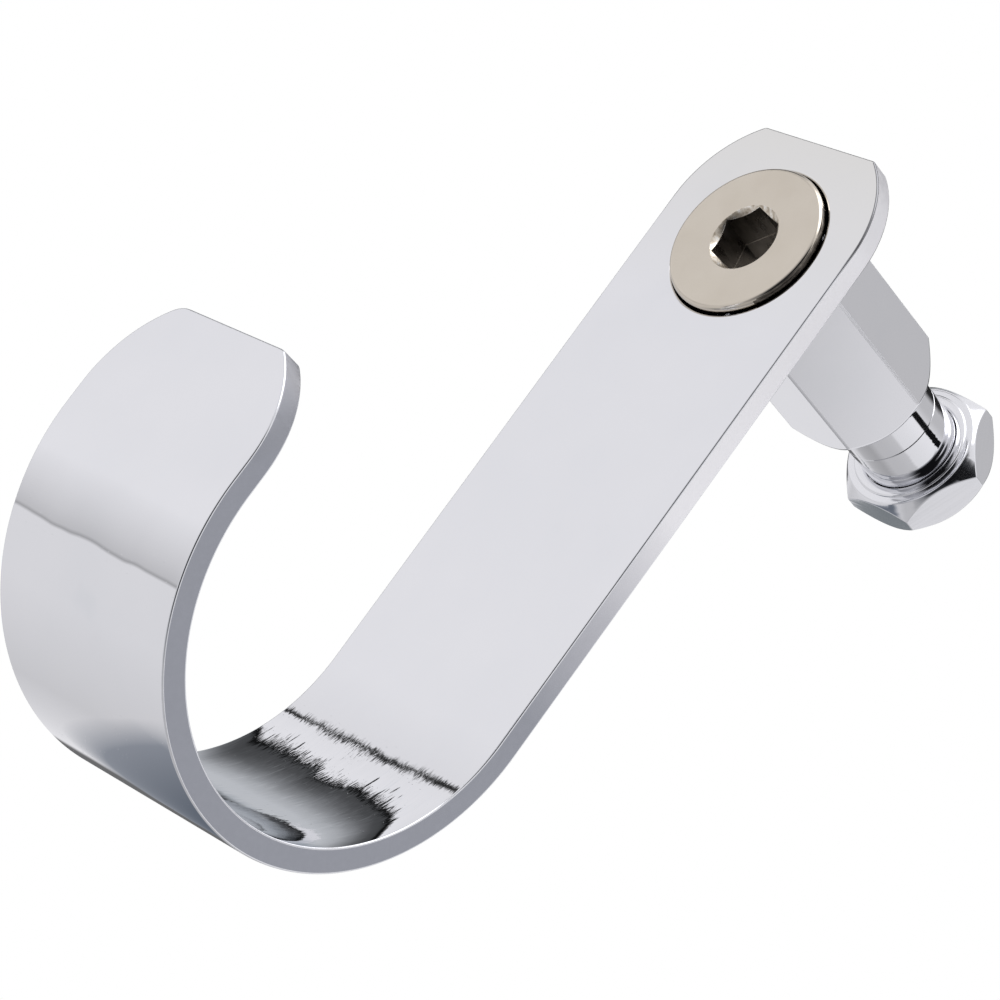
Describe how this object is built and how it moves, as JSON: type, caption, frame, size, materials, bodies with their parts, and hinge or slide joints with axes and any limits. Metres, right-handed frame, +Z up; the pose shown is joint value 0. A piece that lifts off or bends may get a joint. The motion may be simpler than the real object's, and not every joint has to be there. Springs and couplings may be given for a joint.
{
  "type": "headphone hook",
  "caption": "Chromed flat-bar hook on a hexagonal standoff. A countersunk socket screw holds the bar, and a lock nut on the rear stud clamps a panel, so headphones can hang.",
  "frame": {"origin": "on the stud's axis, in the plane of the spacer's rear shoulder, where the panel's front face lies", "axes": "+Y out of the panel's back along the stud, so the hook is at -Y; +Z up, with the hook hanging down; +X across the bar's width"},
  "size_m": [0.03, 0.1032, 0.1083],
  "materials": {
    "bar_chrome": "polished",
    "screw_nickel": "satin nickel plate",
    "spacer_chrome": "polished",
    "stud_zinc": "bright zinc plate",
    "sleeve_chrome": "polished",
    "nut_chrome": "polished"
  },
  "bodies": {
    "spacer": {"hex_spacer": "spacer_chrome", "threaded_stud": "stud_zinc"},
    "hook": {"hook_strap": "bar_chrome"},
    "screw": {"clamp_screw": "screw_nickel"},
    "sleeve": {"spacer_sleeve": "sleeve_chrome"},
    "nut": {"lock_nut": "nut_chrome"}
  },
  "joints": [
    {"name": "hook_swivel", "type": "hinge", "parent": "spacer", "child": "hook", "pos_m": [0, -0.0281, 0], "axis": [0, 1, 0], "continuous": true},
    {"name": "screw_turn", "type": "hinge", "parent": "spacer", "child": "screw", "pos_m": [0, -0.0311, 0], "axis": [0, 1, 0], "range_deg": [-90, 0]},
    {"name": "sleeve_travel", "type": "slide", "parent": "spacer", "child": "sleeve", "axis": [0, 1, 0], "range_m": [0, 0.003]},
    {"name": "nut_spin", "type": "hinge", "parent": "sleeve", "child": "nut", "pos_m": [0, 0.0113, 0], "axis": [0, 1, 0], "range_deg": [0, 720]}
  ],
  "couplings": [
    {"joint": "sleeve_travel", "follows": "nut_spin", "m_per_rad": 0.00023873}
  ]
}
